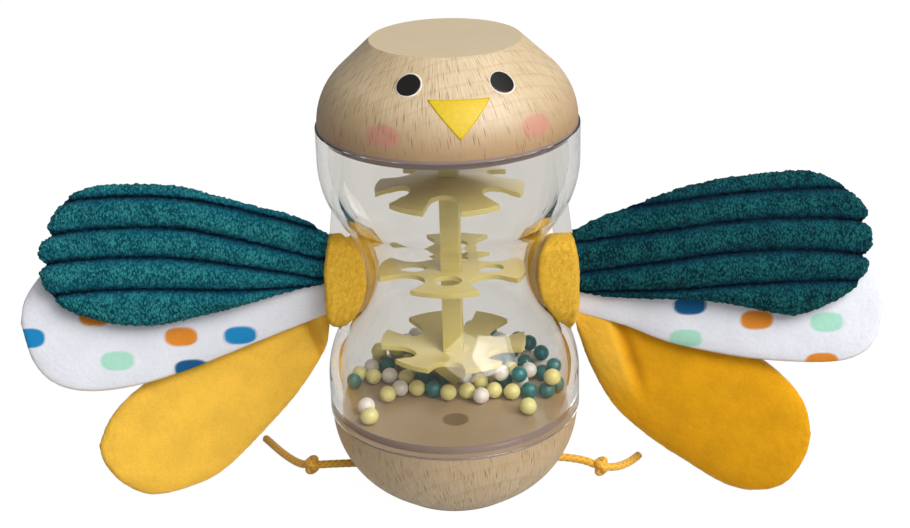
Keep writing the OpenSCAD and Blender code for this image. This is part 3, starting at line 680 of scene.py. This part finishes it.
# Chenille terry: looped pile knitted in wales 8 mm wide, with bare ground between them. The left
# feather is painted lighter than the right one: painted light, one terry in a lit and a shaded
# copy.
terry, t = material("teal_chenille_terry")
place = add(t, "TexCoord").outputs["Object"]
tuft, groove, groove_shade, painted_light_side = (add(t, "Attribute", attribute_name=key).outputs["Fac"]
                             for key in ("tuft", "groove", "groove_shade", "painted_light_side"))
loop_size, curl_size, curl_reach = (0.5, 0.65, 0.9), 1.1, 0.8
curl = add(t, "TexNoise", {"Vector": place, "Scale": 1 / (curl_size * MM), "Detail": 1.0})
bent = add(t, "VectorMath", {0: curl.outputs["Color"], 1: [curl_reach * MM] * 3, 2: place},
           operation="MULTIPLY_ADD")
loop_at = add(t, "Mapping", {"Vector": bent.outputs["Vector"], "Rotation": (0.0, 0.7, 0.0),
                             "Scale": [1 / (size * MM) for size in loop_size]})
loops = add(t, "TexVoronoi", {"Vector": loop_at.outputs["Vector"], "Scale": 1.0})
tip = ranged(t, loops.outputs["Distance"], 0.75, 0.12)
worn = noise_mm(t, 5, 2.0)
# Painted highlight and shade: the loops' tips and the raised tufts are lighter and the pile between
# them darker; worn adds random patches
share = math_node(t, "ADD", math_node(t, "MULTIPLY_ADD", tuft, 0.6, tip), worn)
share = ranged(t, share, 0.85, 1.95)
shade = mix_colours(t, share, mix_colours(t, painted_light_side, "#06282F", "#084450"),
                    mix_colours(t, painted_light_side, "#216A6C", "#3A9898"))
# Painted shade: darker and bluer in a band along each groove, where the wales turn down into it
shade = mix_colours(t, groove_shade, shade, mix_colours(t, painted_light_side, "#093D4E", "#0B5A74"))
# Dark navy in the grooves: the bare ground's own colour, deepened by painted shade
shade = mix_colours(t, groove, shade, "#04182C")
bump = add(t, "Bump", {"Height": tip, "Strength": 0.6, "Distance": 0.3 * MM})
bsdf = add(t, "BsdfPrincipled", {"Base Color": shade, "Roughness": 0.92, "Specular IOR Level": 0.04,
                                 "Sheen Weight": 0.03, "Normal": bump.outputs["Normal"]})
surface(t, bsdf.outputs["BSDF"])

# Upper and lower edge of each teal feather, from the root to the tip
teal_edges = {
    "left": ([(-4, 13.5), (3, 18), (15, 21.6), (27, 24.7), (36, 26.5), (53, 26.4), (61.3, 24.8),
              (66.3, 21.6), (69.6, 16.5), (72.6, 9)],
             [(-4, -0.5), (10.6, -3.3), (26, -7.1), (39.4, -10.2), (46, -10.9), (54.5, -10.2),
              (64.8, -7.2), (70.4, -2.6), (72.6, 3.2), (72.6, 9)]),
    "right": ([(-4, 12.5), (2.8, 15.8), (11.2, 18.7), (20.3, 21.8), (29.5, 23.7), (38.8, 24.6),
               (57.5, 24.9), (66.8, 21.3), (71.1, 17.7), (74.2, 13.2), (75, 7)],
              [(-4, -4.2), (4.2, -6.6), (23.6, -7.1), (35.7, -8.7), (47.7, -11.9), (55.4, -13),
               (65.1, -9.8), (71.8, -5.4), (74.2, 0.5), (75, 7)])}
# Grooves between the wales: height at the root, at the middle and at the tip
teal_grooves = {
    "left": [(-1.3, -0.9, -3.6), (1.2, 7.5, 5.0), (7.0, 15.4, 12.6), (15.5, 23.5, 20.8)],
    "right": [(-5.0, -4.0, -5.2), (0.8, 4.8, 1.8), (9.7, 13.0, 10.8), (17.5, 20.3, 19.5)]}
groove_mid, groove_end = 40.0, 72.0
half_wale, groove_w, groove_shade_w, notch_w = 4.0, 0.75, 2.2, 1.2
for side_name, hand in hands.items():
    t, c, u, v = feather_grid(*teal_edges[side_name], along=190, across=110)
    lines = [np.where(u < groove_mid,
                      a + (b - a) * np.sin(np.pi / 2 * np.clip(u / groove_mid, 0, 1)),
                      b + (e - b) * ((u - groove_mid) / (groove_end - groove_mid)) ** 2)
             for a, b, e in teal_grooves[side_name]]
    near = np.min([np.abs(v - line) for line in lines], axis=0)
    wale = np.sqrt(np.clip(1 - (1 - np.clip(near / half_wale, 0, 1)) ** 2, 0, 1))
    groove = np.exp(-(near / groove_w) ** 2)
    groove_shade = 0.55 * np.exp(-(near / groove_shade_w) ** 2)
    # The grooves draw the tip's edge in a little
    u = u * (1 - 0.03 * np.exp(-(near / notch_w) ** 2) * ease((t - 0.72) / 0.28))
    g = ease(u / swell_length)
    full = fullness(t, c, tip_power=14, side_power=5)
    depth = -(layer_gap + layer_swell * g)
    front = depth - full * (0.5 + 1.6 * wale + g * (0.2 + 1.4 * wale))
    back = depth + full * (0.6 + 1.6 * g)
    marks = {key: np.concatenate([values.ravel(), 0 * values.ravel()])
             for key, values in (("groove", groove), ("groove_shade", groove_shade))}
    # The left feather takes the lighter tones: painted light
    marks["painted_light_side"] = np.full(2 * u.size, 1.0 if side_name == "left" else 0.0)
    points, faces, marks = sewn_layers(hand, u, v, front, back, marks)
    points, marks["tuft"] = pile(points, faces, height=0.8, spacing=0.9, seed=11.0 + hand)
    feather = piece(side_name + "_teal_terry", points, faces, terry, None, marks)
    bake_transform(feather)
    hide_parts(side_name + "_teal_feather")

white_velour = velour("white_printed_velour", sheen=0.25, deep=0.93)
white_edges = {
    "left": ([(-4, 2.5), (20, 9), (45, 12), (60, 10.5), (68, 7.5), (73.8, 2.8), (78, -3.5),
              (79.2, -10)],
             [(-4, -10.2), (18.4, -18.2), (33.9, -23.6), (48, -27.5), (61, -28.7), (70, -26.5),
              (75.8, -20.5), (79.2, -10)]),
    "right": ([(-4, 0), (20, 6.5), (45, 10.5), (60, 10), (70, 6), (76, 0.5), (78.2, -5),
               (78.6, -10.5)],
              [(-4, -12), (9.9, -16), (23, -21), (43.1, -25), (62.5, -26.3), (71.6, -24.7),
               (76.7, -19.5), (78.6, -10.5)])}
dot_blue, dot_navy, dot_mint, dot_orange = "#1C86C0", "#12598A", "#A9DCC6", "#DF8A2C"
dots = {
    "left": [(76.8, -14.2, dot_blue), (36.8, -14.7, dot_orange), (21.2, -15.1, dot_blue),
             (53.8, -20.7, dot_mint), (34.8, -23.8, dot_navy), (59.2, -8.6, dot_orange)],
    "right": [(27.4, -10.0, dot_navy), (45.1, -14.4, dot_orange), (63.4, -15.6, dot_mint),
              (26.4, -19.4, dot_mint), (62.1, -26.4, dot_orange)]}
dot_wide, dot_tall, dot_square = 8.6, 5.2, 2.6
for side_name, hand in hands.items():
    t, c, u, v = feather_grid(*white_edges[side_name], along=240, across=130)
    full = fullness(t, c, tip_power=10, side_power=3)
    thick = full * (0.9 + 1.1 * ease(u / swell_length))
    tone = np.tile(np.array(linear("#E4E5EC")), (u.size, 1))
    # The seam's thread shows along the lower edge
    tone = moved_towards(tone, 0.6 * ease((-0.955 - c) / 0.04), "#CDB48A")
    for at_u, at_v, code in dots[side_name]:
        far = (np.abs((u - at_u) / (dot_wide / 2)) ** dot_square
               + np.abs((v - at_v) / (dot_tall / 2)) ** dot_square)
        tone = moved_towards(tone, ease((1.25 - far) / 0.5), code)
    points, faces, marks = sewn_layers(hand, u, v, -thick, thick,
                                       {"print": np.concatenate([tone, tone])})
    points = pile(points, faces, height=0.1, spacing=1.1, seed=23.0 + hand)[0]
    feather = piece(side_name + "_white_velour", points, faces, white_velour, side_name + "_wing",
                    marks)
    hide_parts(side_name + "_white_feather")

yellow_velour = velour("yellow_velour", sheen=0.2, deep=0.84)
yellow_edges = {
    "left": ([(-4, -6), (8, -9.5), (20, -13), (34, -19), (46, -26.5), (54, -32.5), (58.3, -38),
              (60.6, -44)],
             [(-2.3, -16.6), (-0.7, -22.6), (7.2, -34.6), (17.2, -45.3), (26.9, -53.9),
              (34.6, -57.6), (46.6, -59.1), (54.6, -55), (59.2, -49), (60.6, -44)]),
    "right": ([(-4, -7.5), (8, -11), (20, -15), (34, -19.5), (46, -25), (54, -31.2), (58.6, -38),
               (60, -46)],
              [(-2.3, -18.4), (1.6, -29.6), (8.2, -41.5), (18.1, -50.6), (28.9, -57.2),
               (37.5, -61.6), (44.7, -62.7), (52.6, -60.4), (58, -53.2), (60, -46)])}
# Where each feather folds out of its neck: u at fold_v, and how far u moves for each mm of v
fold_v, neck_folds = -15, {"left": (2.0, 0.33), "right": (8.4, -0.31)}
neck_soft, neck_low, neck_fade, crease_at, crease_w = 3, -42, 16, 0.8, 1.3
flat_u, flat_fade = 9, 6
# The left feather is painted paler than the right one: painted light, one velour in a lit and a
# shaded copy
yellow_lit_and_shaded_tones = {"left": "#F5C044", "right": "#E2A00A"}
for side_name, hand in hands.items():
    t, c, u, v = feather_grid(*yellow_edges[side_name], along=130, across=70)
    g = ease(u / swell_length)
    full = fullness(t, c, tip_power=10, side_power=3)
    depth = layer_gap + layer_swell * g
    # The neck below the loop is plump and folds where the feather opens out from it. Both fade out
    # further down
    fold_u, fold_slope = neck_folds[side_name]
    past_fold = u - fold_u - fold_slope * (v - fold_v)
    high = ease((v - neck_low) / neck_fade)
    neck = ease(-past_fold / neck_soft) * high
    crease = np.exp(-((past_fold - crease_at) / crease_w) ** 2) * high
    thick = full * (0.9 + 2.2 * g - 0.9 * crease)
    plump = full * 1.6 * neck
    # Its back is drawn flat, to pass the shell when the wing swings back
    flat_back = full * (1.5 - 0.9 * g) * high * ease((flat_u - u) / flat_fade)
    tone = np.tile(np.array(linear(yellow_lit_and_shaded_tones[side_name])), (u.size, 1))
    # Painted light and shade: the neck is painted paler, the fold darker, and a pale painted
    # highlight runs along the edges
    rim = 0.5 * ease((np.abs(c) - 0.95) / 0.05)
    for share, code in ((0.7 * neck, "#F4BE40"), (0.55 * crease, "#B87406"), (rim, "#FFE2A0")):
        tone = moved_towards(tone, share, code)
    points, faces, marks = sewn_layers(hand, u, v, depth - thick - plump,
                                       depth + np.maximum(thick - flat_back, -0.4 * full),
                                       {"print": np.concatenate([tone, tone])})
    points = pile(points, faces, height=0.2, spacing=1.1, seed=37.0 + hand)[0]
    feather = piece(side_name + "_yellow_velour", points, faces, yellow_velour, None, marks)
    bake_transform(feather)
    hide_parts(side_name + "_yellow_feather")


# ---- studio
# A white table and backdrop in soft light: a large lamp high on the right and a window in front,
# which both show in the shell, a weaker lamp behind, and even light from the room.
white_level = 1.06
table_half, table_grey, table_glow = 3, 0.62, 0.93
table_mirrored, table_through = 0.4, 0.73
room_light, room_mirrored, room_through = 0.16, 0.34, 0.71
lamp_aim = (0, 0, 0.06)

floor_mesh = bpy.data.meshes.new("table")
corners = [(x * table_half, y * table_half, 0) for x, y in ((-1, -1), (1, -1), (1, 1), (-1, 1))]
floor_mesh.from_pydata(corners, [], [(0, 1, 2, 3)])
floor = bpy.data.objects.new("table", floor_mesh)
bpy.context.scene.collection.objects.link(floor)
# White paper: dull, and bright of itself where it is seen directly, in a reflection or through the
# shell, so that it comes out as white as in the photograph.
table_paper, t = material("white_paper")
rays = add(t, "LightPath").outputs
seen = math_node(t, "MAXIMUM", rays["Is Glossy Ray"], rays["Is Transmission Ray"])
seen = math_node(t, "MAXIMUM", rays["Is Camera Ray"], seen)
level = ranged(t, rays["Is Transmission Ray"], 0.0, 1.0, table_mirrored, table_through)
level = mix_values(t, rays["Is Camera Ray"], level, white_level)
paper = add(t, "BsdfDiffuse", {"Color": (table_grey, table_grey, table_grey, 1)})
white = add(t, "Emission", {"Color": (1, 1, 1, 1), "Strength": level})
both = add(t, "MixShader", {"Fac": math_node(t, "MULTIPLY", seen, table_glow),
                            1: paper.outputs["BSDF"], 2: white.outputs["Emission"]})
surface(t, both.outputs["Shader"])
floor.data.materials.append(table_paper)

room = bpy.data.worlds.new("room")
bpy.context.scene.world = room
room.use_nodes = True
t = room.node_tree
t.nodes.clear()
rays = add(t, "LightPath").outputs
strength = ranged(t, rays["Is Glossy Ray"], 0.0, 1.0, room_light, room_mirrored)
strength = mix_values(t, rays["Is Transmission Ray"], strength, room_through)
strength = mix_values(t, rays["Is Camera Ray"], strength, white_level)
lit = add(t, "Background", {"Color": (1, 1, 1, 1), "Strength": strength})
add(t, "OutputWorld", {"Surface": lit.outputs["Background"]})

for name, place, size, power, spin in (("key", (0.72, -0.62, 0.92), 0.8, 14.0, 0.0),
                                       ("window", (0.27, -0.88, 0.85), 0.7, 5.0, 35.0),
                                       ("back", (0.5, 1.2, 0.4), 0.8, 4.0, 0.0)):
    lamp = bpy.data.lights.new(name, "AREA")
    lamp.size = size
    lamp.energy = power
    holder = bpy.data.objects.new(name, lamp)
    holder.visible_glossy = name != "back"
    bpy.context.scene.collection.objects.link(holder)
    aim = (Vector(lamp_aim) - Vector(place)).to_track_quat("-Z", "Y").to_matrix().to_4x4()
    spun = Matrix.Rotation(math.radians(spin), 4, "Z")
    holder.matrix_world = Matrix.Translation(place) @ aim @ spun

bpy.context.scene.view_settings.view_transform = "Standard"
